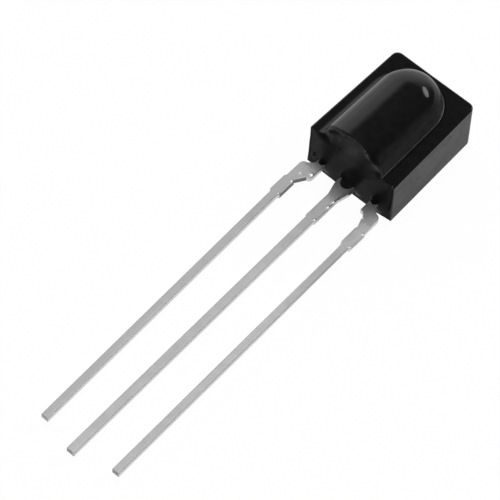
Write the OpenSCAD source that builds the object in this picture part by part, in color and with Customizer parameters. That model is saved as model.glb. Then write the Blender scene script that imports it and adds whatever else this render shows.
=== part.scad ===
// Infrared receiver module: two chips on a stamped lead frame, cast in one block of dark epoxy.
// It lies on its back. The lens looks up along +Z and the three leads run out along -Y.
// The origin is the centre of the flat back. Lengths are in millimetres.

/* [Case] */
// Width of the case at the end where the leads come out
case_w = 6.0; // [5.8:0.1:7]
// How much narrower the case is at its dome end, from the taper of the mould cup
case_taper = 0.34; // [0:0.02:0.5]
// Length of the case from its lead end to its dome end
case_l = 7.1; // [7:0.1:9]
// Depth of the case from its back to the flange beside the lens
case_d = 3.3; // [2.8:0.1:4.5]
// Radius of the two upright corners at the dome end
corner_r = 0.4; // [0.2:0.05:0.8]
// How far the free surface of the epoxy bulges out at the lead end
crown = 0.1; // [0.05:0.01:0.4]

/* [Lens] */
// Radius of the dome that closes the half-round lens
lens_r = 2.05; // [1.7:0.05:2.2]
// How much larger the radius of the lens is at its lead end, from the taper of the mould cup
lens_taper = 0.07; // [0:0.01:0.15]
// Distance of the dome's centre from the lead end
dome_y = 4.55; // [4.3:0.05:4.8]

/* [Lead frame] */
// Thickness of the strip that the leads are stamped from
lead_t = 0.34; // [0.25:0.01:0.5]
// Height of the leads' underside over the back of the case
lead_z = 0.45; // [0.2:0.05:1]
// Distance between neighbouring leads past their shoulders
lead_pitch = 2.54; // [2.4:0.02:2.6]
// Width of the two outer leads
lead_w = 0.47; // [0.35:0.01:0.5]
// Width of the middle lead
ground_w = 0.53; // [0.4:0.01:0.6]
// Length of the outer leads outside the case
outer_lead_l = 22.34; // [8:0.1:30]
// Length of the middle lead outside the case
ground_lead_l = 22.99; // [8:0.1:30]
// Distance of the outer leads from the middle one where they leave the case
exit_pitch = 1.9; // [1.8:0.02:2]
// Width of the outer leads where they leave the case
neck_w = 0.52; // [0.4:0.01:0.6]
// Width of the middle lead where it leaves the case
ground_neck_w = 1.07; // [0.9:0.01:1.2]
// Sideways offset of the whole row of leads in the case
row_shift = -0.08; // [-0.1:0.01:0.1]
// Sideways lean of the output, ground and supply lead, measured at the tip
tip_lean = [0.35, 0.22, 0.29];

/* [Shoulders] */
// Distance from the case at which the outer leads start to step outwards
jog_start = 0.28; // [0.2:0.01:0.4]
// Distance from the case at which that step ends
jog_end = 1.36; // [1.2:0.02:1.6]
// Rounding of the step's outer corner
jog_r = 0.3; // [0.1:0.02:0.4]
// Width of the outer leads between the step and the tie bar stub
upper_w = 0.54; // [0.5:0.01:0.6]
// Distance from the case to the near edge of the tie bar stubs
stub_start = 1.96; // [1.8:0.02:2.2]
// Length of the tie bar stubs along the leads
stub_l = 1.28; // [0.8:0.02:1.6]
// Width of the outer leads over their tie bar stubs
stub_w = 0.68; // [0.62:0.01:0.8]
// Width of the middle lead over its tie bar stubs
ground_stub_w = 0.66; // [0.62:0.01:0.8]
// Slope of the sheared ends of a tie bar stub, measured along the lead
shear_run = 0.08; // [0.02:0.01:0.15]
// Radius of the bite in the supply lead's step
bite_r = 0.42; // [0.3:0.02:0.5]
// Rounding of the tab that is left at the output lead's step
tab_r = 0.24; // [0.1:0.02:0.3]

/* [Inside the case] */
// Margin of the pad before and behind the chips
pad_margin = 0.3; // [0.2:0.05:0.4]
// Margin of the pad on each side of the photodiode chip
pad_side = 0.6; // [0.5:0.05:0.9]
// Gap between the bond fingers and the pad
finger_gap = 0.4; // [0.2:0.05:0.6]
// Width of the bond fingers
finger_w = 1.2; // [1:0.05:1.3]
// How far the bond fingers reach outside the necks of the outer leads
finger_step = 0.2; // [0.1:0.05:0.4]
// Side of the square photodiode chip
diode_w = 1.5; // [1.2:0.05:1.6]
// Width of the receiver chip
chip_w = 1.2; // [1:0.05:1.5]
// Length of the receiver chip
chip_l = 0.9; // [0.7:0.05:1]
// Distance of the receiver chip from the photodiode chip
chip_gap = 0.25; // [0.15:0.05:0.35]
// Thickness of both chips
chip_t = 0.25; // [0.15:0.05:0.4]
// Thickness of the adhesive under each chip
glue_t = 0.04; // [0.02:0.01:0.08]
// Margin of adhesive that squeezes out round each chip
glue_margin = 0.06; // [0.03:0.01:0.1]

/* [Bond wires] */
// Diameter of the bond wires
wire_d = 0.03; // [0.02:0.005:0.05]
// Height of the wire loops over the chips
loop_h = 0.28; // [0.2:0.02:0.5]
// Bend radius of the wires
loop_r = 0.12; // [0.08:0.01:0.15]
// Diameter of the bond at each end of a wire
bond_d = 0.09; // [0.07:0.01:0.12]
// Height of those bonds
bond_h = 0.02; // [0.01:0.005:0.04]
// Distance of a bond's centre from the edge of what it is bonded to
bond_inset = 0.15; // [0.1:0.01:0.2]

/* [Hidden] */

$fn = 64;
// Points in each rounded corner of an outline
CORNER_STEPS = 8;
// Points along the bulged lead end, and how square that bulge is
CROWN_STEPS = 24;
CROWN_POWER = 4;

case_end_w = case_w - case_taper;
lead_top = lead_z + lead_t;
glue_top = lead_top + glue_t;
chip_top = glue_top + chip_t;
stub_end = stub_start + stub_l;

// The photodiode lies under the dome, and the receiver chip between it and the leads
diode_y = dome_y;
chip_y = diode_y - diode_w / 2 - chip_gap - chip_l / 2;
pad_near = chip_y - chip_l / 2 - pad_margin;
pad_far = diode_y + diode_w / 2 + pad_margin;
pad_w = diode_w + 2 * pad_side;
finger_l = pad_near - finger_gap;
finger_out = exit_pitch + neck_w / 2 + finger_step;

// The height that a creeping tongue of epoxy climbs over the leads
creep_h = 0.5;
creep_tip_r = 0.1;

// A rounded corner: points on a circle from one angle to another
function arc(centre, r, from, to) = [
    for (i = [0 : CORNER_STEPS])
        let (a = from + (to - from) * i / CORNER_STEPS)
        centre + r * [cos(a), sin(a)]
];

// The bulged lead end, from the left corner to the right one
function crown_line() = [
    for (i = [0 : CROWN_STEPS])
        let (t = 2 * i / CROWN_STEPS - 1)
        [t * case_w / 2, -crown * (1 - pow(abs(t), CROWN_POWER))]
];

// Plan of the case: tapered sides, two round corners and the bulged lead end
module case_plan() {
    x = case_end_w / 2 - corner_r;
    y = case_l - corner_r;
    polygon(concat(
        crown_line(),
        arc([x, y], corner_r, 0, 90),
        arc([-x, y], corner_r, 90, 180)
    ));
}

// The half-round lens that ends in a dome, drawn whole; its lower half lies within the case
module lens() {
    translate([0, -crown, case_d])
        rotate([-90, 0, 0])
            cylinder(r1 = lens_r + lens_taper, r2 = lens_r, h = dome_y + crown);
    translate([0, dome_y, case_d])
        sphere(r = lens_r);
}

// Tongue of epoxy that crept out over the flat of one lead
module creep(x, r) {
    translate([x, 0, lead_top])
        cylinder(r1 = r, r2 = creep_tip_r, h = creep_h);
}

// Outer lead in plan, with x outwards from the middle of the row and y along the lead.
// The strip steps outwards past the case and keeps the sheared stub of its tie bar.
module outer_lead_plan(lean, round_tab) {
    neck_in = exit_pitch - neck_w / 2;
    neck_out = exit_pitch + neck_w / 2;
    upper_in = lead_pitch + stub_w / 2 - upper_w - shear_run;
    upper_out = lead_pitch + stub_w / 2 - shear_run;
    stub_in = lead_pitch - stub_w / 2;
    stub_out = lead_pitch + stub_w / 2;
    lead_in = lead_pitch - lead_w / 2;
    lead_out = lead_pitch + lead_w / 2;
    finger_in = finger_out - finger_w;
    difference() {
        polygon(concat(
            [
                [finger_in, finger_l],
                [finger_in, finger_l - finger_w],
                [neck_in, finger_l - finger_w - neck_w / 2]
            ],
            round_tab
                ? arc([neck_in + tab_r, tab_r - jog_end], tab_r, 180, 270)
                : [[neck_in, -jog_end]],
            [
                [upper_in, -jog_end],
                [upper_in, -stub_start],
                [stub_in, -stub_start - shear_run],
                [stub_in, -stub_end],
                [lead_in, -stub_end - shear_run],
                [lead_in + lean, -outer_lead_l],
                [lead_out + lean, -outer_lead_l],
                [lead_out, -stub_end - shear_run],
                [stub_out, -stub_end],
                [stub_out, -stub_start - shear_run],
                [upper_out, -stub_start]
            ],
            arc([upper_out - jog_r, -jog_start - 2 * jog_r], jog_r, 0, 90),
            [
                [neck_out, -jog_start],
                [neck_out, finger_l - finger_w - neck_w / 2],
                [finger_out, finger_l - finger_w],
                [finger_out, finger_l]
            ]
        ));
        if (!round_tab)
            translate([neck_in, -jog_end])
                circle(r = bite_r);
    }
}

// Middle lead in plan, with the pad for the chips at its inner end
module ground_lead_plan(lean) {
    neck = ground_neck_w / 2;
    stub = ground_stub_w / 2;
    half = ground_w / 2;
    polygon([
        [-pad_w / 2, pad_far],
        [-pad_w / 2, pad_near],
        [-neck, pad_near - neck],
        [-neck, -jog_start - jog_r],
        [-stub, -jog_end],
        [-stub, -stub_end],
        [-half, -stub_end - shear_run],
        [lean - half, -ground_lead_l],
        [lean + half, -ground_lead_l],
        [half, -stub_end - shear_run],
        [stub, -stub_end],
        [stub, -jog_end],
        [neck, -jog_start - jog_r],
        [neck, pad_near - neck],
        [pad_w / 2, pad_near],
        [pad_w / 2, pad_far]
    ]);
}

// Lifts a stamped plan to its height in the case and gives it the strip's thickness
module stamped() {
    translate([row_shift, 0, lead_z])
        linear_extrude(height = lead_t)
            children();
}

// A chip, or its adhesive, centred at a distance y from the lead end
module block_on_pad(w, l, y, z, h) {
    translate([row_shift - w / 2, y - l / 2, z])
        cube([w, l, h]);
}

// Wire loop between two bonds: it rises upright, runs level and drops upright
module wire_loop(from, to) {
    run = norm([to[0] - from[0], to[1] - from[1]]);
    top = max(from[2], to[2]) + loop_h;
    translate([from[0], from[1], 0])
        rotate([0, 0, atan2(to[1] - from[1], to[0] - from[0])]) {
            for (foot = [[0, from[2]], [run, to[2]]])
                translate([foot[0], 0, foot[1]]) {
                    cylinder(d = bond_d, h = bond_h);
                    cylinder(d = wire_d, h = top - loop_r - foot[1]);
                }
            translate([loop_r, 0, top - loop_r])
                rotate([90, 0, 0])
                    rotate([0, 0, 90])
                        rotate_extrude(angle = 90)
                            translate([loop_r, 0])
                                circle(d = wire_d);
            translate([run - loop_r, 0, top - loop_r])
                rotate([90, 0, 0])
                    rotate_extrude(angle = 90)
                        translate([loop_r, 0])
                            circle(d = wire_d);
            translate([loop_r, 0, top])
                rotate([0, 90, 0])
                    cylinder(d = wire_d, h = run - 2 * loop_r);
        }
}

// Stamped lead on the left, which carries the output signal
module output_lead_solid() {
    mirror([1, 0, 0])
        translate([-2 * row_shift, 0, 0])
            stamped()
                outer_lead_plan(-tip_lean[0], true);
}

// Stamped lead in the middle, which carries the chips and the ground
module ground_lead_solid() {
    stamped()
        ground_lead_plan(tip_lean[1]);
}

// Stamped lead on the right, which carries the supply
module supply_lead_solid() {
    stamped()
        outer_lead_plan(tip_lean[2], false);
}

module photodiode_chip_solid() {
    block_on_pad(diode_w, diode_w, diode_y, glue_top, chip_t);
}

module receiver_chip_solid() {
    block_on_pad(chip_w, chip_l, chip_y, glue_top, chip_t);
}

module photodiode_adhesive_solid() {
    side = diode_w + 2 * glue_margin;
    block_on_pad(side, side, diode_y, lead_top, glue_t);
}

module receiver_adhesive_solid() {
    block_on_pad(chip_w + 2 * glue_margin, chip_l + 2 * glue_margin, chip_y, lead_top, glue_t);
}

// From the photodiode to the receiver chip's input
module diode_wire_solid() {
    wire_loop(
        [row_shift, diode_y - diode_w / 2 + bond_inset, chip_top],
        [row_shift, chip_y + chip_l / 2 - bond_inset, chip_top]
    );
}

// From a lower corner of the receiver chip out to a bond finger; side is -1 or 1
module finger_wire_solid(side) {
    finger_mid = finger_out - finger_w / 2;
    wire_loop(
        [row_shift + side * (chip_w / 2 - bond_inset), chip_y - chip_l / 2 + bond_inset, chip_top],
        [row_shift + side * finger_mid, finger_l - 2 * bond_inset, lead_top]
    );
}

// From the receiver chip's edge down to the pad beside it
module ground_wire_solid() {
    edge = (chip_w / 2 + glue_margin + pad_w / 2) / 2;
    wire_loop(
        [row_shift + chip_w / 2 - bond_inset, chip_y + bond_inset, chip_top],
        [row_shift + edge, chip_y + bond_inset, lead_top]
    );
}

// All that the epoxy is cast round
module cast_in() {
    output_lead_solid();
    ground_lead_solid();
    supply_lead_solid();
    photodiode_adhesive_solid();
    receiver_adhesive_solid();
    photodiode_chip_solid();
    receiver_chip_solid();
    diode_wire_solid();
    finger_wire_solid(-1);
    finger_wire_solid(1);
    ground_wire_solid();
}

// One casting: box, flange, lens and dome, with the pieces inside it left out
module encapsulation_solid() {
    difference() {
        union() {
            intersection() {
                linear_extrude(height = case_d + lens_r + lens_taper)
                    case_plan();
                union() {
                    translate([-case_w, -case_l, 0])
                        cube([2 * case_w, 3 * case_l, case_d]);
                    lens();
                }
            }
            creep(row_shift - exit_pitch, neck_w / 2);
            creep(row_shift, ground_neck_w / 2);
            creep(row_shift + exit_pitch, neck_w / 2);
        }
        cast_in();
    }
}

// Moves a piece from the lead end to the origin at the centre of the back
module placed() {
    translate([0, -case_l / 2, 0])
        children();
}

module encapsulation() {
    color("#17171a")
        placed() encapsulation_solid();
}

module output_lead() {
    color("#c4c6c8")
        placed() output_lead_solid();
}

module ground_lead() {
    color("#c4c6c8")
        placed() ground_lead_solid();
}

module supply_lead() {
    color("#c4c6c8")
        placed() supply_lead_solid();
}

module photodiode_chip() {
    color("#3a4a6b")
        placed() photodiode_chip_solid();
}

module receiver_chip() {
    color("#5a5f68")
        placed() receiver_chip_solid();
}

module photodiode_adhesive() {
    color("#b8b8bc")
        placed() photodiode_adhesive_solid();
}

module receiver_adhesive() {
    color("#b8b8bc")
        placed() receiver_adhesive_solid();
}

module diode_wire() {
    color("gold")
        placed() diode_wire_solid();
}

module output_wire() {
    color("gold")
        placed() finger_wire_solid(-1);
}

module supply_wire() {
    color("gold")
        placed() finger_wire_solid(1);
}

module ground_wire() {
    color("gold")
        placed() ground_wire_solid();
}

encapsulation();
output_lead();
ground_lead();
supply_lead();
photodiode_chip();
receiver_chip();
photodiode_adhesive();
receiver_adhesive();
diode_wire();
output_wire();
supply_wire();
ground_wire();
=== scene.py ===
import math

import bmesh
import bpy
import numpy as np
from mathutils import Matrix, Vector


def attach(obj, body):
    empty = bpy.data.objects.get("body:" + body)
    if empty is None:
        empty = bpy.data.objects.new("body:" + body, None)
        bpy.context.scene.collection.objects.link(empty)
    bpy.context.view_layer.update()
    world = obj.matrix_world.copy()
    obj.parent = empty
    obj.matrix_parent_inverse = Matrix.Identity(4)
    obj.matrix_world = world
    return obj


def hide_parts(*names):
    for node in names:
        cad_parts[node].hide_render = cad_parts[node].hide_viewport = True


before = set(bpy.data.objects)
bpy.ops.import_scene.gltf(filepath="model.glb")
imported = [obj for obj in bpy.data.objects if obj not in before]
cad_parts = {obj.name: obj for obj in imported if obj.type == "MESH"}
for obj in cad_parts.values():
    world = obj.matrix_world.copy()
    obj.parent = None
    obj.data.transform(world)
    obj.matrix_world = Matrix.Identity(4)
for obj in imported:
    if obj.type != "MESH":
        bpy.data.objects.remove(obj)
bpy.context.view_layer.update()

MM = 0.001

# Camera. The part is seen from above, from its lead end and its supply side, with a long lens,
# so that its edges stay nearly parallel. All angles are in degrees.
VIEW_AZIMUTH = 36.74
VIEW_ELEVATION = 57.01
VIEW_ROLL = 4.98
VIEW_AIM = Vector((-1.44, -10.17, 0.0)) * MM
VIEW_DISTANCE = 297.58 * MM
VIEW_LENS = 394.4


def add_camera():
    """Looks along one direction, given by its azimuth from +Y and its elevation, and rolls about it."""
    azimuth, elevation, roll = (math.radians(a) for a in (VIEW_AZIMUTH, VIEW_ELEVATION, VIEW_ROLL))
    ahead = Vector((
        -math.cos(elevation) * math.sin(azimuth),
        math.cos(elevation) * math.cos(azimuth),
        -math.sin(elevation),
    ))
    level = Vector((math.cos(azimuth), math.sin(azimuth), 0.0))
    down = ahead.cross(level)
    right = level * math.cos(roll) - down * math.sin(roll)
    up = right.cross(ahead)
    data = bpy.data.cameras.new("view")
    data.lens = VIEW_LENS
    data.clip_start = 0.01
    data.clip_end = 10.0
    camera = bpy.data.objects.new("view", data)
    turn = Matrix((right, up, -ahead)).transposed()
    camera.matrix_world = Matrix.Translation(VIEW_AIM - ahead * VIEW_DISTANCE) @ turn.to_4x4()
    bpy.context.scene.collection.objects.link(camera)
    bpy.context.scene.camera = camera


add_camera()
bpy.context.scene.view_settings.view_transform = "Standard"

# Floor and light. The part lies on a white sheet. A soft box hangs nearly overhead, a small lamp
# stands behind the part and another in front of it, a white wall stands on its left and the rest
# of the room is dark.
FLOOR_SIDE = 4.0
PAPER_SHADE = 0.55
GLOW_SHADE = 0.35
GLOW_STRENGTH = 3.0
FLOOR_GLOW = 0.92
FLOOR_GLOSS_GLOW = 0.53
ROOM_LIGHT = 0.03
WALL_LIGHT = 0.95
WALL_AZIMUTH = 150.0
WALL_SPREAD = (0.1, 0.8)
WALL_TOP = 0.58
WALL_FADE = 0.80
# Soft boxes: azimuth from +X towards +Y and elevation in degrees, width and height in metres, radiance.
LAMP_DISTANCE = 0.5
LAMPS = {
    "overhead": (118.0, 78.0, 0.15, 0.15, 14.0),
    "behind": (66.0, 33.5, 0.26, 0.14, 5.0),
    "front": (300.0, 66.0, 0.12, 0.12, 9.0),
}


def feed(tree, source, target):
    """Links a socket to another one, or sets it to a plain value."""
    if isinstance(source, bpy.types.NodeSocket):
        tree.links.new(source, target)
    else:
        target.default_value = source


def add_node(tree, kind, **values):
    """A node of that kind; names with a capital feed its sockets and the rest are settings."""
    node = tree.nodes.new(kind)
    for name, value in values.items():
        if name[0].isupper():
            feed(tree, value, node.inputs[name.replace("_", " ")])
        else:
            setattr(node, name, value)
    return node


def remap(tree, source, low, high, to_low, to_high, smooth=False):
    """Carries a value from the range low to high over to another range, straight or eased."""
    ease_type = "SMOOTHSTEP" if smooth else "LINEAR"
    return add_node(
        tree, "ShaderNodeMapRange", interpolation_type=ease_type,
        Value=source, From_Min=low, From_Max=high, To_Min=to_low, To_Max=to_high,
    ).outputs["Result"]


def combine(tree, operation, *operands):
    """One step of arithmetic on sockets and plain numbers."""
    node = add_node(tree, "ShaderNodeMath", operation=operation)
    for slot, operand in zip(node.inputs, operands):
        feed(tree, operand, slot)
    return node.outputs[0]


def add_floor():
    """Plain white paper under the lamps. Rays from the camera, and to a lesser share those by way of
    gloss or glass, see it glow as white instead. A dark colour times a large strength keeps the glow
    from being sampled as a lamp, which would only add noise."""
    mesh = bpy.data.meshes.new("floor")
    h = FLOOR_SIDE / 2
    mesh.from_pydata([(-h, -h, 0), (h, -h, 0), (h, h, 0), (-h, h, 0)], [], [(0, 1, 2, 3)])
    floor = bpy.data.objects.new("floor", mesh)
    bpy.context.scene.collection.objects.link(floor)
    material = bpy.data.materials.new("floor")
    material.use_nodes = True
    tree = material.node_tree
    tree.nodes.clear()
    path = add_node(tree, "ShaderNodeLightPath").outputs
    indirect = combine(tree, "MAXIMUM", path["Is Glossy Ray"], path["Is Transmission Ray"])
    faint = combine(tree, "MULTIPLY", indirect, FLOOR_GLOSS_GLOW)
    full = combine(tree, "MULTIPLY", path["Is Camera Ray"], FLOOR_GLOW)
    share = combine(tree, "MAXIMUM", faint, full)
    shade = combine(tree, "MULTIPLY_ADD", share, -PAPER_SHADE, PAPER_SHADE)
    paper = add_node(tree, "ShaderNodeBsdfDiffuse", Color=shade)
    strength = combine(tree, "MULTIPLY", share, GLOW_STRENGTH)
    glow = add_node(tree, "ShaderNodeEmission", Color=(GLOW_SHADE,) * 3 + (1.0,), Strength=strength)
    both = add_node(tree, "ShaderNodeAddShader")
    feed(tree, paper.outputs[0], both.inputs[0])
    feed(tree, glow.outputs[0], both.inputs[1])
    add_node(tree, "ShaderNodeOutputMaterial", Surface=both.outputs[0])
    mesh.materials.append(material)


def add_world():
    """A wall that fades with height and to both sides, in a dark room, and plain white for the camera."""
    world = bpy.data.worlds.new("room")
    bpy.context.scene.world = world
    world.use_nodes = True
    tree = world.node_tree
    tree.nodes.clear()
    place = add_node(tree, "ShaderNodeTexCoord").outputs["Generated"]
    a = math.radians(WALL_AZIMUTH)
    towards = add_node(tree, "ShaderNodeVectorMath", operation="DOT_PRODUCT")
    feed(tree, place, towards.inputs[0])
    feed(tree, (math.cos(a), math.sin(a), 0.0), towards.inputs[1])
    up = add_node(tree, "ShaderNodeSeparateXYZ", Vector=place).outputs["Z"]
    sideways = remap(tree, towards.outputs["Value"], *WALL_SPREAD, 0.0, 1.0, smooth=True)
    upwards = remap(tree, up, WALL_TOP, WALL_FADE, 1.0, 0.0, smooth=True)
    wall = combine(tree, "MULTIPLY", sideways, upwards)
    light = combine(tree, "MULTIPLY_ADD", wall, WALL_LIGHT - ROOM_LIGHT, ROOM_LIGHT)
    seen = add_node(tree, "ShaderNodeLightPath").outputs["Is Camera Ray"]
    strength = combine(tree, "MAXIMUM", seen, light)
    back = add_node(tree, "ShaderNodeBackground", Color=(1.0, 1.0, 1.0, 1.0), Strength=strength)
    add_node(tree, "ShaderNodeOutputWorld", Surface=back.outputs[0])


def add_lamp(name, azimuth, elevation, width, height, radiance):
    """Oval soft box on a sphere round the part, facing it. A flat lamp of area A that gives radiance L
    puts out pi A L watts."""
    a, e = math.radians(azimuth), math.radians(elevation)
    towards = Vector((math.cos(e) * math.cos(a), math.cos(e) * math.sin(a), math.sin(e)))
    data = bpy.data.lights.new(name, "AREA")
    data.shape = "ELLIPSE"
    data.size = width
    data.size_y = height
    data.energy = math.pi * math.pi / 4 * width * height * radiance
    lamp = bpy.data.objects.new(name, data)
    turn = towards.to_track_quat("Z", "Y").to_matrix().to_4x4()
    lamp.matrix_world = Matrix.Translation(towards * LAMP_DISTANCE) @ turn
    bpy.context.scene.collection.objects.link(lamp)


add_floor()
add_world()
for lamp_name, lamp_values in LAMPS.items():
    add_lamp(lamp_name, *lamp_values)

# Epoxy casting. One block of dark resin, cast with the leads upwards in a polished mould cup.
# The cup gives the box, the flange and the lens their gloss and taper; at the lead end the
# resin set as a free surface, which bulges out, dips beside the lens and crept out over the leads.
CASE_W = 6.0
CASE_TAPER = 0.34
CASE_L = 7.1
CASE_D = 3.3
CORNER_R = 0.4
LENS_R = 2.05
LENS_TAPER = 0.07
DOME_Y = 4.55
EDGE_R = 0.12
BACK_EDGE_R = 0.05
# Radius of the hollow between lens and flange on the right, at the dome and on the left, and how far
# the lens draws in above it on the right and at the dome.
FOOT_RIGHT_R = 0.06
FOOT_DOME_R = 0.16
FOOT_LEFT_R = 0.42
FOOT_PULL = 0.085
DOME_PULL = 0.07
GROOVE_DEPTH = 0.14
GROOVE_W = 0.11
LIP = 0.04
LIP_WIDTH = 0.11
BULGE = 0.08
LENS_BULGE = 0.14
# Dips, and swells with a minus, of the free surface: depth, x, width, z, height.
DIPS = (
    (0.18, -1.98, 0.45, CASE_D + 0.05, 0.25),
    (0.14, 2.00, 0.30, CASE_D + 0.25, 0.30),
    (-0.20, -1.60, 0.50, 4.50, 0.35),
    (-0.18, 1.50, 0.40, 4.70, 0.40),
)
# Furrow along the right edge: depth, x, width, and the heights over which it rises and ends.
FURROW = (0.12, 2.80, 0.09, (0.9, 1.3), (3.3, 2.9))
# Crease on the lens: depth, x, width, z, height, and x per z of its slant about the height given last.
CREASE = (0.030, -0.74, 0.10, 3.8, 0.8, 0.16, 4.57)
# Slow waves: height, radians per millimetre of x and of z, start.
WAVES = ((0.018, 2.3, 1.1, 0.0), (0.008, 5.1, -3.7, 1.0))
# Hollows in the lens next to its rim: angle from the top of the lens, y, width in degrees, length, depth.
HOLLOWS = (
    (-62.0, 0.06, 20.0, 0.12, 0.06),
    (52.0, 0.10, 17.0, 0.10, 0.05),
)
# Drops of resin beside the leads and on the rim: x, z, width, height.
DROPS = (
    (-2.60, 0.88, 0.08, 0.22), (-0.53, 1.06, 0.08, 0.24), (1.72, 1.08, 0.08, 0.24),
    (-1.60, 0.44, 0.16, 0.04), (0.66, 0.46, 0.16, 0.04), (2.15, 0.38, 0.16, 0.04),
    (-1.54, 4.07, 0.06, 0.14), (-0.66, 5.14, 0.06, 0.12), (1.02, 4.96, 0.06, 0.13),
)
ROW_SHIFT = -0.08
EXIT_PITCH = 1.9
NECK_W = 0.52
GROUND_NECK_W = 1.07
LEAD_T = 0.34
LEAD_Z = 0.45
LEAD_TOP = LEAD_Z + LEAD_T
# Tongues of resin on the three leads: x, half width, reach.
TONGUES = (
    (ROW_SHIFT - EXIT_PITCH, 0.17, 0.22),
    (ROW_SHIFT, 0.41, 0.46),
    (ROW_SHIFT + EXIT_PITCH, 0.19, 0.20),
)
TONGUE_T = 0.02
TONGUE_FADE = 0.06
TONGUE_UNDER = 0.05
# Gloss of the drops reaches this many times their width.
DROP_SHINE = 1.3
# Slant of the lens in degrees from its top over which its low flank, with its painted light, and the painted
# light over its right foot begin.
FLANK_SLANT = (42.0, 52.0)
PAINTED_LIGHT_SLANT = (60.0, 85.0)
# Dull skin rolls this far over the rim, and further at two angles: more reach, angle, width in degrees.
SKIN_ROLL = 0.08
SKIN_PATCHES = ((0.24, -58.0, 18.0), (0.16, 48.0, 18.0))
SKIN_FADE = 0.04
# Painted light on the resin above the middle lead, a lighter colour where the lamps hardly reach, as share,
# width, z and height, and its share on the tongues.
ABOVE_LEAD_PAINTED_LIGHT = (0.3, 0.55, 1.25, 0.45)
TONGUE_PAINTED_LIGHT = 0.25
# Points of half a section that lie on the lens, and those of the foot below them.
LENS_POINTS = 44
FOOT_POINTS = 8
# Distances of the first sections from the rim, close together where the hollows and drops bend them,
# and the distance up to which the free surface moves them.
RIM_ROWS = (
    0.0, 0.018, 0.036, 0.054, 0.075, 0.096, 0.115, 0.14, 0.17, 0.21,
    0.26, 0.31, 0.37, 0.43, 0.50, 0.58, 0.67, 0.78,
)
RIM_REACH = 1.2


def to_frame(points):
    """From millimetres measured from the lead end to metres in the part's own frame."""
    return (np.asarray(points, float) - (0.0, CASE_L / 2, 0.0)) * MM


def bump(x, centre, width):
    """Bell curve: e to the minus square of the distance over the width."""
    return np.exp(-((x - centre) / width) ** 2)


def ramp(x, start, end):
    """0 up to the start, 1 from the end on and a straight line between; the end may lie below the start."""
    return np.clip((x - start) / (end - start), 0, 1)


def ease(share):
    """From 0 to 1 with level ends: three times the square less two times the cube."""
    return share * share * (3 - 2 * share)


def free_surface(x, z):
    """Distance along Y of the free resin surface from the lead end's plane; minus is outwards.
    A flat bulge that falls off with the fourth power of x, a second bulge over the lens, dips and
    swells beside and on the lens, a furrow along the right edge, a slanting crease on the lens,
    slow waves, drops beside the leads, and a half-round tongue on each lead that fades with the
    height over the lead."""
    y = -BULGE * (1 - np.minimum(np.abs(x) / (CASE_W / 2), 1) ** 4)
    y = y - LENS_BULGE * ease(ramp(z, CASE_D, CASE_D + LENS_R))
    for depth, at_x, width, at_z, height in DIPS:
        y = y + depth * bump(x, at_x, width) * bump(z, at_z, height)
    depth, at_x, width, rise, end = FURROW
    y = y + depth * bump(x, at_x, width) * ramp(z, *rise) * ramp(z, *end)
    depth, at_x, width, at_z, height, slant, level = CREASE
    y = y + depth * bump(x - slant * (z - level), at_x, width) * bump(z, at_z, height)
    for height, per_x, per_z, start in WAVES:
        y = y + height * np.sin(per_x * x + per_z * z + start)
    for drop_x, drop_z, width, height in DROPS:
        y = y - height * bump(x, drop_x, width) * bump(z, drop_z, width)
    for centre, half, reach in TONGUES:
        across = np.sqrt(np.clip(1 - ((x - centre) / half) ** 2, 0, 1))
        fade = np.exp(-np.maximum(z - LEAD_TOP - TONGUE_T, 0) / TONGUE_FADE)
        y = y - reach * across * fade * (z > LEAD_Z - TONGUE_UNDER)
    return y


def drop_gloss(x, z):
    """1 on the drops and 0 away from them."""
    spots = [(at_x, at_z, width * DROP_SHINE) for at_x, at_z, width, _ in DROPS]
    return np.max([bump(x, at_x, w) * bump(z, at_z, w) for at_x, at_z, w in spots], axis=0)


def edge_distance(origin_y, dx, dy):
    """Distance from the point (0, origin_y) along the unit direction (dx, dy) to the case's outline:
    to its tapered side, its flat end or the round corner between them, whichever is met first."""
    half, end_half = CASE_W / 2, (CASE_W - CASE_TAPER) / 2
    corner_x, corner_y = end_half - CORNER_R, CASE_L - CORNER_R
    slope = (half - end_half) / corner_y
    ax, ay = np.abs(dx), np.maximum(dy, 1e-9)
    side = (half - slope * origin_y) / np.maximum(ax + slope * dy, 1e-9)
    end = (CASE_L - origin_y) / ay
    reach = np.minimum(side, end)
    in_corner = (reach * ax > corner_x) & (origin_y + reach * dy > corner_y)
    along = corner_x * ax + (corner_y - origin_y) * dy
    off = corner_x ** 2 + (corner_y - origin_y) ** 2 - CORNER_R ** 2
    round_reach = along + np.sqrt(np.maximum(along ** 2 - off, 0))
    return np.where(in_corner, round_reach, reach)


def pairs(x, z):
    """Points of a section from x and z, where a value that all points or sections share is spread out."""
    return np.stack(np.broadcast_arrays(x, z), -1)


def arc(centre_x, centre_z, r, start, end, count):
    """Points on a circle from one angle to another, in degrees; columns give one arc per section."""
    a = np.radians(start + (end - start) * np.linspace(0, 1, count))
    return pairs(centre_x + r * np.cos(a), centre_z + r * np.sin(a))


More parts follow.
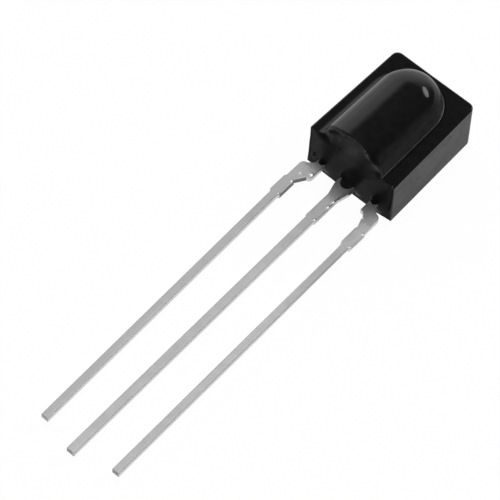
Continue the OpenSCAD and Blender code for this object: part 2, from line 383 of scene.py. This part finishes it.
def half_sections(r, edge, foot_r, pull, groove):
    """Outlines of half the casting, one per row of the given columns, from the top of the lens over foot,
    flange, side and back to the middle of the back: distances outwards and heights. The foot is a hollow
    that touches the lens, whose radius shrinks by the pull towards it, and the flange, which it may meet
    in a narrow groove."""
    low_r = r - pull
    foot_x = np.sqrt(low_r * low_r + 2 * low_r * foot_r)
    tilt = np.degrees(np.arctan2(foot_r, foot_x))
    lens = arc(0, 0, 1, 90, tilt, LENS_POINTS)
    drawn = r - pull * ease(ramp(lens[..., 1], 0.75, 0.15))
    flange_x = foot_x + GROOVE_W
    groove_x = foot_x + GROOVE_W * np.array([0.04, 0.25, 0.75, 0.96])
    flange = np.linspace(0, 1, 12)[:-1]
    side = np.linspace(CASE_D - EDGE_R, BACK_EDGE_R, 18)[1:-1]
    parts = [
        lens * drawn[..., None] + (0, CASE_D),
        arc(foot_x, CASE_D + foot_r, foot_r, 180 + tilt, 270, FOOT_POINTS + 1)[:, 1:],
        pairs(groove_x, CASE_D - groove * (0.35, 0.9, 0.9, 0.35)),
        pairs(flange_x + (edge - EDGE_R - flange_x) * flange, CASE_D),
        arc(edge - EDGE_R, CASE_D - EDGE_R, EDGE_R, 90, 0, 6),
        pairs(edge, side),
        arc(edge - BACK_EDGE_R, BACK_EDGE_R, BACK_EDGE_R, 0, -90, 5),
        pairs((edge - BACK_EDGE_R) * np.linspace(1, 0, 70)[1:], 0.0),
    ]
    return np.concatenate(parts, axis=1)


def casting_surface():
    """Half sections carried up one side, round the dome and down the other side, as rows of points.
    On the sides they stand square to the casting's axis, and round the dome they turn about its centre.
    Next to the lead end they follow the free surface. Also gives each row's distance from that end."""
    rise = np.concatenate([RIM_ROWS, np.linspace(0.92, DOME_Y, 22)])
    quarter = [np.linspace(0, 35, 28)[1:], np.linspace(35, 60, 30)[1:], np.linspace(60, 90, 20)[1:]]
    turn = np.radians(np.concatenate(quarter))
    turn = np.concatenate([turn, math.pi - turn[-2::-1]])
    level = np.zeros(rise.size)
    y = np.concatenate([rise, np.full(turn.size, DOME_Y), rise[::-1]])[:, None]
    dx = np.concatenate([level + 1, np.cos(turn), level - 1])[:, None]
    dy = np.concatenate([level, np.sin(turn), level])[:, None]
    r = LENS_R + LENS_TAPER * (1 - y / DOME_Y)
    foot_r = np.interp(-dx, (-1.0, -0.3, 1.0), (FOOT_RIGHT_R, FOOT_DOME_R, FOOT_LEFT_R))
    right = ramp(dx, 0.1, 0.9)
    pull = np.maximum(FOOT_PULL * right, DOME_PULL * dy)
    sections = half_sections(r, edge_distance(y, dx, dy), foot_r, pull, GROOVE_DEPTH * right)
    out, height = np.moveaxis(sections, -1, 0)
    lens_out, lens_up = out[:, :LENS_POINTS], height[:, :LENS_POINTS] - CASE_D
    angle = np.degrees(np.arctan2(lens_out, lens_up)) * dx
    for at, at_y, width, length, depth in HOLLOWS:
        dent = 1 - depth * bump(angle, at, width) * bump(y, at_y, length) * (dy == 0) / r
        lens_out, lens_up = lens_out * dent, lens_up * dent
    out = np.concatenate([lens_out, out[:, LENS_POINTS:]], axis=1)
    height = np.concatenate([lens_up + CASE_D, height[:, LENS_POINTS:]], axis=1)
    x, along = out * dx, y + out * dy
    along = along + np.where(dy == 0, ramp(along, RIM_REACH, 0) ** 2 * free_surface(x, height), 0)
    return np.stack([x, along, height], -1), y


def cap_surface(rim):
    """Rings that shrink from the rim of the lead end to one point inside it. Each ring lies on the free
    surface, and the first ones stand out as the thin lip that the cup's edge leaves."""
    middle = np.array([0.0, 1.7])
    share = np.concatenate([(0.996, 0.990, 0.982, 0.972, 0.96), np.linspace(0.945, 0.02, 72)])
    flat = middle + (rim[None, :, (0, 2)] - middle) * share[:, None, None]
    inset = np.linalg.norm(rim[None, :, (0, 2)] - flat, axis=-1)
    x, z = flat[:, :, 0], flat[:, :, 1]
    lip = LIP * np.sin(ramp(inset, 0, LIP_WIDTH) * math.pi) * ramp(z, 0.2, 0.7)
    return np.stack([x, free_surface(x, z) - lip, z], -1)


def ring_faces(loops):
    """Quads between each loop of point numbers and the next, all the way round."""
    after = np.roll(loops, -1, axis=1)
    return np.stack([loops[:-1], after[:-1], after[1:], loops[1:]], -1).reshape(-1, 4).tolist()


def mesh_piece(name, points, faces, masks):
    """A smooth mesh object from points in metres, with doubled points merged and its faces turned
    outwards. Each mask is a value per point that the material reads by its name."""
    merge = 1e-4 * MM
    mesh = bpy.data.meshes.new(name)
    mesh.from_pydata(points.tolist(), [], faces)
    for mask, values in masks.items():
        attribute = mesh.attributes.new(mask, "FLOAT", "POINT")
        attribute.data.foreach_set("value", np.asarray(values, np.float32))
    work = bmesh.new()
    work.from_mesh(mesh)
    bmesh.ops.remove_doubles(work, verts=work.verts, dist=merge)
    bmesh.ops.dissolve_degenerate(work, edges=work.edges, dist=merge)
    bmesh.ops.recalc_face_normals(work, faces=work.faces)
    work.to_mesh(mesh)
    work.free()
    mesh.shade_smooth()
    piece = bpy.data.objects.new(name, mesh)
    bpy.context.scene.collection.objects.link(piece)
    return piece


def casting_masks(rows, along, cap):
    """Where each finish and the painted light lie, as a value per point of the moulded rows, of the cap and
    of its tip: the drafted sides, the low flank of the lens, whose lighter colour is painted light, the
    painted light over its right foot and on the resin above and on the leads, and the dull skin of the free
    surface, which also rolls a little way over the rim."""
    heights = rows[..., 2]
    lens_x, lens_y, lens_z = np.moveaxis(rows[:, :LENS_POINTS], -1, 0)
    slant = np.degrees(np.arctan2(np.hypot(lens_x, np.maximum(lens_y - DOME_Y, 0)), lens_z - CASE_D))
    right = np.clip(lens_x / LENS_R, 0, 1)
    painted_low_flank, painted_light, rim_dull = np.zeros((3,) + heights.shape)
    # Painted light on the right low flank of the lens: a lighter colour and nearly no gloss.
    painted_low_flank[:, :LENS_POINTS] = ramp(slant, *FLANK_SLANT) * np.sqrt(right)
    # Painted light: a lighter colour over the right slope and foot of the lens, where the lamps hardly
    # reach.
    painted_light[:, :LENS_POINTS] = ramp(slant, *PAINTED_LIGHT_SLANT) * right
    foot = slice(LENS_POINTS, LENS_POINTS + FOOT_POINTS)
    painted_light[:, foot] = np.clip(rows[:, foot, 0] / LENS_R, 0, 1)
    lens_angle = np.sign(lens_x) * slant
    skin = SKIN_ROLL + sum(more * bump(lens_angle, at, width) for more, at, width in SKIN_PATCHES)
    rim_dull[:, :LENS_POINTS] = ramp(along, skin, skin - SKIN_FADE)
    side = (heights > 0.001) & (heights < CASE_D - 0.15)
    cap_x, cap_y, cap_z = np.moveaxis(cap, -1, 0)
    inset = np.linalg.norm(cap[..., (0, 2)] - cap[:1, :, (0, 2)], axis=-1)
    dull = ramp(inset, 0.02, 0.08) * (1 - 0.9 * drop_gloss(cap_x, cap_z))
    tongue = ramp(-cap_y, 0.14, 0.22) * (cap_z < LEAD_TOP + 0.16)
    share, width, at_z, height = ABOVE_LEAD_PAINTED_LIGHT
    above = share * bump(cap_x, ROW_SHIFT, width) * bump(cap_z, at_z, height)
    # Painted light on the cap: a lighter colour on the resin above the middle lead and on the tongues.
    cap_painted_light = above * (1 - tongue) + TONGUE_PAINTED_LIGHT * tongue
    none = np.zeros_like(cap_x)
    zones = (
        ("side_wall", side, none, 0.0),
        ("painted_low_flank", painted_low_flank, none, 0.0),
        ("painted_light", painted_light, cap_painted_light, 0.0),
        ("free_surface", rim_dull, dull, 1.0),
    )
    return {name: np.concatenate([m.ravel(), c.ravel(), [tip]]) for name, m, c, tip in zones}


def add_casting():
    """The moulded rows, a grid that is closed across the back and the lens by merging its ends, and the
    rings of the cap, which start at the grid's two end rows and run into a fan round the tip."""
    rows, along = casting_surface()
    stations, across, _ = rows.shape
    cap = cap_surface(np.concatenate([rows[0], rows[-1][::-1][1:-1]]))
    rings, around, _ = cap.shape
    tip = cap[-1].mean(axis=0, keepdims=True)
    grid = np.arange(stations * across).reshape(stations, across)
    rim = np.concatenate([grid[0], grid[-1][::-1][1:-1]])
    loops = np.concatenate([rim[None, :], grid.size + np.arange(rings * around).reshape(rings, around)])
    moulded = np.stack([grid[:-1, :-1], grid[:-1, 1:], grid[1:, 1:], grid[1:, :-1]], -1).reshape(-1, 4)
    fan = np.stack([loops[-1], np.roll(loops[-1], -1), np.full(around, grid.size + rings * around)], -1)
    points = to_frame(np.concatenate([rows.reshape(-1, 3), cap.reshape(-1, 3), tip]))
    faces = moulded.tolist() + ring_faces(loops) + fan.tolist()
    return mesh_piece("epoxy_casting", points, faces, casting_masks(rows, along, cap))


def node_group(name, inputs, outputs):
    """An empty shader node group with named sockets; also the sockets inside it, given and result."""
    group = bpy.data.node_groups.new(name, "ShaderNodeTree")
    for way, sockets in (("INPUT", inputs), ("OUTPUT", outputs)):
        for label, kind in sockets:
            group.interface.new_socket(name=label, in_out=way, socket_type="NodeSocket" + kind)
    return group, group.nodes.new("NodeGroupInput").outputs, group.nodes.new("NodeGroupOutput").inputs


def grain_group():
    """Noise of so many cells per millimetre of the piece, longer along directions with a small stretch."""
    inputs = (("Scale", "Float"), ("Detail", "Float"), ("Stretch", "Vector"))
    group, given, result = node_group("grain", inputs, (("Grain", "Float"),))
    place = add_node(group, "ShaderNodeTexCoord").outputs["Object"]
    millimetres = add_node(group, "ShaderNodeVectorMath", operation="SCALE", Vector=place, Scale=1 / MM)
    stretched = add_node(group, "ShaderNodeVectorMath", operation="MULTIPLY")
    feed(group, millimetres.outputs[0], stretched.inputs[0])
    feed(group, given["Stretch"], stretched.inputs[1])
    texture = add_node(group, "ShaderNodeTexNoise", Vector=stretched.outputs[0])
    feed(group, given["Scale"], texture.inputs["Scale"])
    feed(group, given["Detail"], texture.inputs["Detail"])
    feed(group, texture.outputs["Fac"], result["Grain"])
    return group


GRAIN = grain_group()


def grain(tree, scale, detail=3.0, stretch=(1.0, 1.0, 1.0)):
    """The grain group placed in a material or another group, with its own values."""
    node = add_node(tree, "ShaderNodeGroup", node_tree=GRAIN, Scale=scale, Detail=detail, Stretch=stretch)
    return node.outputs["Grain"]


def mask_value(tree, name):
    """The value that the piece's mesh holds under this name."""
    return add_node(tree, "ShaderNodeAttribute", attribute_name=name).outputs["Fac"]


def layers(tree, value, *zones):
    """Starts from one value and lays each zone's own value over it, where the zone's mask is 1."""
    for mask, own in zones:
        mix = add_node(tree, "ShaderNodeMix", data_type="FLOAT", Factor=mask, A=value, B=own)
        value = mix.outputs["Result"]
    return value


def new_material(name):
    """A material, its node tree and its Principled shader's sockets."""
    material = bpy.data.materials.new(name)
    material.use_nodes = True
    return material, material.node_tree, material.node_tree.nodes["Principled BSDF"].inputs


def relief(tree, height):
    """Normal of a surface that is raised by a height in millimetres."""
    return add_node(tree, "ShaderNodeBump", Strength=1.0, Distance=MM, Height=height).outputs[0]


# Roughness, specular level and shade of the resin in each zone.
MOULDED = (0.11, 0.30, 0.011)
SIDE_WALL = (0.30, 0.18, 0.016)
# Right low flank of the lens: a lighter colour, painted light, and almost no gloss, on the right side only.
PAINTED_LOW_FLANK = (0.30, 0.01, 0.022)
FREE_SKIN = (0.34, 0.05, 0.008)
# Painted light: the lighter colour of the resin over the lens's right foot and above and on the leads.
PAINTED_LIGHT_SHADE = 0.085
EPOXY_IOR = 1.54
# What a scuff adds to roughness and shade, and the heights of ripple, grain and pits in millimetres.
SCUFF_ROUGH = 0.35
SCUFF_SHADE = -0.008
RIPPLE_H = 0.010
GRAIN_H = 0.0003
PIT_DEPTH = 0.002
PITS_PER_MM = 1.3


def epoxy_material():
    """Dark resin. Polished where the cup shaped it, duller on the drafted sides and on the free surface,
    with a faint ripple, a fine grain, a few pits and scuffs, and patches that differ a little in gloss.
    Painted light makes the colour lighter on the right low flank of the lens, which also loses nearly all
    its gloss, over the lens's right foot, and on the resin above and on the leads."""
    material, tree, shader = new_material("cast_epoxy")
    side, painted_flank_light, free, painted_light = (
        mask_value(tree, name) for name in ("side_wall", "painted_low_flank", "free_surface", "painted_light")
    )
    # On the right low flank the colour is lighter, painted light, and the gloss nearly gone.
    rough, level, shade = (
        layers(tree, moulded, (side, on_side), (painted_flank_light, on_painted_flank), (free, on_skin))
        for moulded, on_side, on_painted_flank, on_skin in zip(MOULDED, SIDE_WALL, PAINTED_LOW_FLANK, FREE_SKIN)
    )
    gloss = remap(tree, grain(tree, 0.9, 4.0), 0.3, 0.7, 0.8, 1.25)
    rough = combine(tree, "MULTIPLY", rough, gloss)
    mottle = remap(tree, grain(tree, 2.2, 5.0), 0.3, 0.7, 0.80, 1.20)
    # Painted light: a lighter colour over the lens's right foot and on the resin above and on the leads.
    shade = combine(tree, "MULTIPLY", layers(tree, shade, (painted_light, PAINTED_LIGHT_SHADE)), mottle)
    scuffs = remap(tree, grain(tree, 5.0, 5.0, (1.0, 0.35, 1.6)), 0.66, 0.72, 0.0, 1.0)
    scuffs = combine(tree, "MULTIPLY", scuffs, side)
    place = add_node(tree, "ShaderNodeTexCoord").outputs["Object"]
    pits = add_node(tree, "ShaderNodeTexVoronoi", Vector=place, Scale=PITS_PER_MM / MM)
    pit = remap(tree, pits.outputs["Distance"], 0.02, 0.05, -PIT_DEPTH, 0.0, smooth=True)
    ripple = combine(tree, "MULTIPLY", grain(tree, 1.3, 1.0), RIPPLE_H)
    fine = combine(tree, "MULTIPLY_ADD", grain(tree, 16.0), GRAIN_H, ripple)
    feed(tree, EPOXY_IOR, shader["IOR"])
    feed(tree, combine(tree, "MULTIPLY_ADD", scuffs, SCUFF_ROUGH, rough), shader["Roughness"])
    feed(tree, combine(tree, "MULTIPLY_ADD", scuffs, SCUFF_SHADE, shade), shader["Base Color"])
    feed(tree, level, shader["Specular IOR Level"])
    feed(tree, relief(tree, combine(tree, "ADD", fine, pit)), shader["Normal"])
    return material


casting = add_casting()
casting.data.materials.append(epoxy_material())
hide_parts("encapsulation")
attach(casting, "root")

# Leads. Stamped from one strip, then dipped in tin with the case already on, so the strip stays
# bare and darker for a millimetre next to the case. The outer two step outwards, and each lead
# keeps the sheared stubs of the tie bar that held the strip together.
LEAD_PITCH = 2.54
LEAD_W = 0.47
GROUND_W = 0.53
OUTER_LEAD_L = 22.34
GROUND_LEAD_L = 22.99
# Sideways lean of the tips of the output, ground and supply lead.
TIP_LEAN = (0.35, 0.22, 0.29)
JOG_START = 0.28
JOG_END = 1.36
JOG_R = 0.3
UPPER_W = 0.54
STUB_START = 1.96
STUB_L = 1.28
STUB_END = STUB_START + STUB_L
STUB_W = 0.68
GROUND_STUB_W = 0.66
SHEAR_RUN = 0.08
BITE_R = 0.42
TAB_R = 0.24
CHIP_L = 0.9
CHIP_GAP = 0.25
DIODE_W = 1.5
PAD_MARGIN = 0.3
PAD_SIDE = 0.6
FINGER_GAP = 0.4
FINGER_W = 1.2
FINGER_STEP = 0.2
PAD_W = DIODE_W + 2 * PAD_SIDE
PAD_FAR = DOME_Y + DIODE_W / 2 + PAD_MARGIN
PAD_NEAR = DOME_Y - DIODE_W / 2 - CHIP_GAP - CHIP_L - PAD_MARGIN
FINGER_L = PAD_NEAR - FINGER_GAP
FACE_EDGE_R = 0.03
ROLL_W = 0.10
BEAD_H = 0.045
# How far in from its sides and faces a lead shows the painted light on its sides, and how far the darker
# band on the sheared side reaches in and stays below the face. An edge that sinks more than the last value
# gets a low roughness and a painted glint.
FLANK_BAND = (0.012, 0.004)
SHEAR_BAND = (0.01, 0.03)
ROLL_SHINE = 0.05
# Sections stand closely over this stretch of y, loosely elsewhere, and right beside each corner.
FINE_STRETCH = (-4.2, 0.6)
FINE_STEP = 0.03
COARSE_STEP = 0.4
CORNER_GAP = 0.004


def outer_edges(lean, round_tab):
    """Inner and outer edge of an outer lead, each as corner points (y, x) from bond finger to tip."""
    neck_in, neck_out = EXIT_PITCH - NECK_W / 2, EXIT_PITCH + NECK_W / 2
    finger_out = neck_out + FINGER_STEP
    finger_in = finger_out - FINGER_W
    wide_in, wide_out = LEAD_PITCH - STUB_W / 2, LEAD_PITCH + STUB_W / 2
    upper_in, upper_out = wide_out - UPPER_W - SHEAR_RUN, wide_out - SHEAR_RUN
    low_in, low_out = LEAD_PITCH - LEAD_W / 2, LEAD_PITCH + LEAD_W / 2
    neck_y = FINGER_L - FINGER_W - NECK_W / 2
    quarter = np.radians(np.linspace(0, 90, 7))
    if round_tab:
        step = np.stack([TAB_R * (1 - np.sin(quarter)), TAB_R * (1 - np.cos(quarter))], -1)
    else:
        step = np.stack([BITE_R * np.cos(quarter), BITE_R * np.sin(quarter)], -1)
    corner = np.stack([np.cos(quarter) - 2, np.sin(quarter) - 1], -1) * JOG_R
    inner = np.concatenate([
        [(FINGER_L, finger_in), (FINGER_L - FINGER_W, finger_in), (neck_y, neck_in)],
        step + (-JOG_END, neck_in),
        [(-JOG_END, upper_in), (-STUB_START, upper_in)],
        [(-STUB_START - SHEAR_RUN, wide_in), (-STUB_END, wide_in)],
        [(-STUB_END - SHEAR_RUN, low_in), (-OUTER_LEAD_L, low_in + lean)],
    ])
    outer = np.concatenate([
        [(FINGER_L, finger_out), (FINGER_L - FINGER_W, finger_out), (neck_y, neck_out)],
        [(-JOG_START, neck_out)],
        corner + (-JOG_START, upper_out),
        [(-STUB_START, upper_out), (-STUB_START - SHEAR_RUN, wide_out), (-STUB_END, wide_out)],
        [(-STUB_END - SHEAR_RUN, low_out), (-OUTER_LEAD_L, low_out + lean)],
    ])
    return inner, outer


def ground_edges(lean):
    """Left and right edge of the middle lead, each as corner points (y, x) from the pad to the tip."""
    def side(sign):
        """One of the two edges; minus is the left one."""
        neck, stub, half = GROUND_NECK_W / 2, GROUND_STUB_W / 2, GROUND_W / 2
        return np.array([
            (PAD_FAR, sign * PAD_W / 2), (PAD_NEAR, sign * PAD_W / 2), (PAD_NEAR - neck, sign * neck),
            (-JOG_START - JOG_R, sign * neck), (-JOG_END, sign * stub), (-STUB_END, sign * stub),
            (-STUB_END - SHEAR_RUN, sign * half), (-GROUND_LEAD_L, lean + sign * half),
        ])
    return side(-1), side(1)


def edge_at(corners, y):
    """The edge's x at each y, where steps square to the lead stay sharp."""
    order = np.argsort(corners[:, 0], kind="stable")
    ys = corners[order, 0] + np.arange(len(corners)) * 1e-7
    return np.interp(y, ys, corners[order, 1])


def lead_sections(half_w, half_t):
    """Rounded rectangles, one per row of the half widths. The flat faces are split so that they can
    carry small swells."""
    x, z = half_w - FACE_EDGE_R, half_t - FACE_EDGE_R
    top = pairs(np.linspace(1, -1, 9)[1:-1] * x, half_t)
    right = arc(x, z, FACE_EDGE_R, 0, 90, 4)
    left = arc(-x, z, FACE_EDGE_R, 90, 180, 4)
    low_left = arc(-x, -z, FACE_EDGE_R, 180, 270, 4)
    low_right = arc(x, -z, FACE_EDGE_R, 270, 360, 4)
    return np.concatenate([right, top, left, low_left, -top, low_right], axis=1)


def add_lead(name, edges, mirror, twist, beads, roll, bare_y, shear):
    """Sections carried along the lead: each spans its two edges at that y, sinks towards its right edge
    where the punch pulled the metal down, swells at the beads of tin that gather where the strip was
    sheared, and turns by the twist. The masks tell where the beads and the rolled edge get a low roughness
    and a painted glint, where the sheared right side is made darker, where both sides get painted light, and
    how far each point lies on the case's side of the bare strip's end."""
    first, second = edges
    breaks = np.unique(np.round(np.concatenate([first[:, 0], second[:, 0]]), 5))
    dense = np.arange(*FINE_STRETCH, FINE_STEP)
    sparse = np.arange(breaks.min(), breaks.max(), COARSE_STEP)
    steps = np.concatenate([breaks, breaks + CORNER_GAP, breaks - CORNER_GAP, dense, sparse])
    y = np.unique(np.round(np.clip(steps, breaks.min(), breaks.max()), 5))[::-1][:, None]
    low, high = edge_at(first, y), edge_at(second, y)
    middle, half = (low + high) / 2, (high - low) / 2
    sign = -1 if mirror else 1
    x, z = np.moveaxis(lead_sections(half, LEAD_T / 2), -1, 0)
    upper = z > 0
    bead = upper * np.max([
        bump((x + middle) * sign, at_x, width) * bump(y, at_y, length) for at_x, at_y, width, length in beads
    ], axis=0)
    sink = np.interp(y, *roll)
    slope = upper * ramp(x * sign, half - ROLL_W, half)
    z = z + BEAD_H * bead - sink * slope
    in_jog = (y > -STUB_END) & (y < -JOG_END)
    sheared = (x * sign > half - SHEAR_BAND[0]) & (z < LEAD_T / 2 - SHEAR_BAND[1]) & in_jog
    masks = {
        # Beads and sunk rolled edges: a low roughness and a painted glint, a lighter colour.
        "glossy_and_painted_glint": np.where(sink > ROLL_SHINE, np.maximum(bead, slope > 0.5), bead),
        "sheared": shear * sheared,
        # Painted light: both sides of each lead are made lighter.
        "painted_flank_light": (np.abs(x) > half - FLANK_BAND[0]) & (np.abs(z) < LEAD_T / 2 - FLANK_BAND[1]),
        "bare": np.broadcast_to(y - bare_y, x.shape),
    }
    angle = np.radians(np.interp(-y, *twist))
    across = middle + x * np.cos(angle) + z * np.sin(angle)
    height = LEAD_Z + LEAD_T / 2 + z * np.cos(angle) - x * np.sin(angle)
    across = ROW_SHIFT + (-across if mirror else across)
    rows = np.stack([across, np.broadcast_to(y, x.shape), height], -1)
    rings = np.arange(x.size).reshape(x.shape)
    faces = ring_faces(rings) + [rings[0].tolist(), rings[-1][::-1].tolist()]
    return mesh_piece(name, to_frame(rows.reshape(-1, 3)), faces, {k: v.ravel() for k, v in masks.items()})


# Tone and roughness of the tin, and of each zone its shade as a share of that tone and its roughness.
TIN_TONE = (0.50, 0.55)
TIN_ROUGH = (0.56, 0.64)
# Painted light: the sides of the leads are made lighter than the tin's face.
FLANK_PAINTED_LIGHT, FLANK_ROUGH = 1.60, 0.38
# Painted glint: the colour of beads and rolled edges is made lighter, and their roughness lower.
GLINT_PAINT_SHADE, GLINT_SPOT_ROUGH = 1.70, 0.24
# The right sides of the stub stretch are made darker, to this share of the tin's tone.
SHEARED_SHADE = 0.35
BARE_SHADE, BARE_METALLIC = 0.90, 0.30
BAND_H = 0.0008
TIN_GRAIN_H = 0.00003


def tin_material():
    """Satin tin: faint bands along the lead, clouds in its gloss and a fine grain. The strip beside the
    case stayed bare, grey and dull, and ends in a ragged line. Painted light makes both sides of each lead
    lighter, and painted glints make the beads and the sunk rolled edge lighter."""
    material, tree, shader = new_material("dipped_tin")
    glossy_and_painted_glint, sheared, painted_flank_light = (mask_value(tree, name) for name in ("glossy_and_painted_glint", "sheared", "painted_flank_light"))
    bands = grain(tree, 1.0, 3.0, (9.0, 0.25, 9.0))
    clouds = grain(tree, 1.6)
    mixed = combine(tree, "MULTIPLY_ADD", clouds, 0.5, combine(tree, "MULTIPLY", bands, 0.5))
    tone = remap(tree, mixed, 0.35, 0.65, *TIN_TONE)
    ragged = combine(tree, "MULTIPLY_ADD", clouds, 0.14, mask_value(tree, "bare"))
    bare = remap(tree, ragged, 0.04, 0.10, 0.0, 1.0)
    # Painted light lightens the sides of the leads.
    shade = layers(tree, 1.0, (bare, BARE_SHADE), (painted_flank_light, FLANK_PAINTED_LIGHT))
    # Painted glints lighten the beads and rolled edges; the sheared right sides are made darker.
    shade = layers(tree, shade, (glossy_and_painted_glint, GLINT_PAINT_SHADE), (sheared, SHEARED_SHADE))
    # Lead sides with painted light and spots with painted glints, which stay metallic in the bare strip.
    lit_flank_and_glint = combine(tree, "MAXIMUM", painted_flank_light, glossy_and_painted_glint)
    dull = combine(tree, "MULTIPLY", bare, combine(tree, "SUBTRACT", 1.0, lit_flank_and_glint))
    satin = remap(tree, clouds, 0.3, 0.7, *TIN_ROUGH)
    rough = layers(tree, satin, (painted_flank_light, FLANK_ROUGH), (glossy_and_painted_glint, GLINT_SPOT_ROUGH))
    lines = combine(tree, "MULTIPLY", bands, BAND_H)
    height = combine(tree, "MULTIPLY_ADD", grain(tree, 22.0, 4.0), TIN_GRAIN_H, lines)
    feed(tree, combine(tree, "MULTIPLY", tone, shade), shader["Base Color"])
    feed(tree, layers(tree, 1.0, (dull, BARE_METALLIC)), shader["Metallic"])
    feed(tree, rough, shader["Roughness"])
    feed(tree, relief(tree, height), shader["Normal"])
    return material


tin = tin_material()
# Twist in degrees at distances from the case, and how deep the right edge sinks at each y.
STRAIGHT = ((0.0, 4.0, 30.0), (0.0, 1.5, 1.5))
SUPPLY_TWIST = ((1.4, 2.4, 4.4, 11.0, 23.0), (0.0, 7.0, 17.0, 3.0, 0.0))
FLAT = ((-30.0, 1.0), (0.01, 0.01))
GROUND_ROLL = ((-2.4, -1.4, -1.1, -0.3, 1.0), (0.010, 0.015, 0.22, 0.28, 0.28))
# Beads of tin: x, y, width, length.
OUTPUT_BEADS = (
    (-2.32, -1.33, 0.05, 0.09), (-2.30, -2.08, 0.05, 0.07),
    (-2.30, -3.20, 0.05, 0.07), (-1.77, -1.02, 0.10, 0.10),
)
GROUND_BEADS = ((0.28, -2.02, 0.05, 0.12), (0.28, -3.16, 0.05, 0.07), (0.28, -1.55, 0.05, 0.10))
SUPPLY_BEADS = ((2.82, -2.10, 0.05, 0.07), (2.82, -3.22, 0.05, 0.07))
for node, edges, mirror, twist, beads, roll, bare_y, shear in (
    ("output_lead", outer_edges(-TIP_LEAN[0], True), True, STRAIGHT, OUTPUT_BEADS, FLAT, -0.72, 1.0),
    ("ground_lead", ground_edges(TIP_LEAN[1]), False, STRAIGHT, GROUND_BEADS, GROUND_ROLL, -1.42, 0.4),
    ("supply_lead", outer_edges(TIP_LEAN[2], False), False, SUPPLY_TWIST, SUPPLY_BEADS, FLAT, -1.48, 0.15),
):
    lead = add_lead("tinned_" + node, edges, mirror, twist, beads, roll, bare_y, shear)
    lead.data.materials.append(tin)
    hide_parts(node)
    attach(lead, "root")

# Chips, adhesive and bond wires. They are cast in and can't be seen: two polished silicon chips
# on silver-filled adhesive, and four drawn gold wires.
def varied_group():
    """A colour and a roughness that both vary by a fifth up and down with one fine grain."""
    inputs = (("Colour", "Color"), ("Roughness", "Float"), ("Scale", "Float"))
    group, given, result = node_group("varied", inputs, inputs[:2])
    share = remap(group, grain(group, given["Scale"]), 0.0, 1.0, 0.8, 1.2)
    tint = add_node(group, "ShaderNodeVectorMath", operation="SCALE", Vector=given["Colour"], Scale=share)
    feed(group, tint.outputs[0], result["Colour"])
    feed(group, combine(group, "MULTIPLY", given["Roughness"], share), result["Roughness"])
    return group


VARIED = varied_group()


def plain_finish(name, colour, metallic, roughness, scale):
    """A finish of one colour, with the fine variation of a real surface."""
    material, tree, shader = new_material(name)
    varied = add_node(
        tree, "ShaderNodeGroup", node_tree=VARIED, Colour=(*colour, 1.0), Roughness=roughness, Scale=scale
    ).outputs
    feed(tree, varied["Colour"], shader["Base Color"])
    feed(tree, varied["Roughness"], shader["Roughness"])
    feed(tree, metallic, shader["Metallic"])
    return material


silicon = plain_finish("silicon", (0.10, 0.12, 0.17), 0.0, 0.12, 6.0)
silver_adhesive = plain_finish("silver_adhesive", (0.55, 0.55, 0.56), 0.6, 0.6, 40.0)
gold = plain_finish("gold", (0.83, 0.62, 0.22), 1.0, 0.25, 60.0)
for names, finish in (
    (("photodiode_chip", "receiver_chip"), silicon),
    (("photodiode_adhesive", "receiver_adhesive"), silver_adhesive),
    (("diode_wire", "output_wire", "supply_wire", "ground_wire"), gold),
):
    for name in names:
        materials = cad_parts[name].data.materials
        materials.clear()
        materials.append(finish)
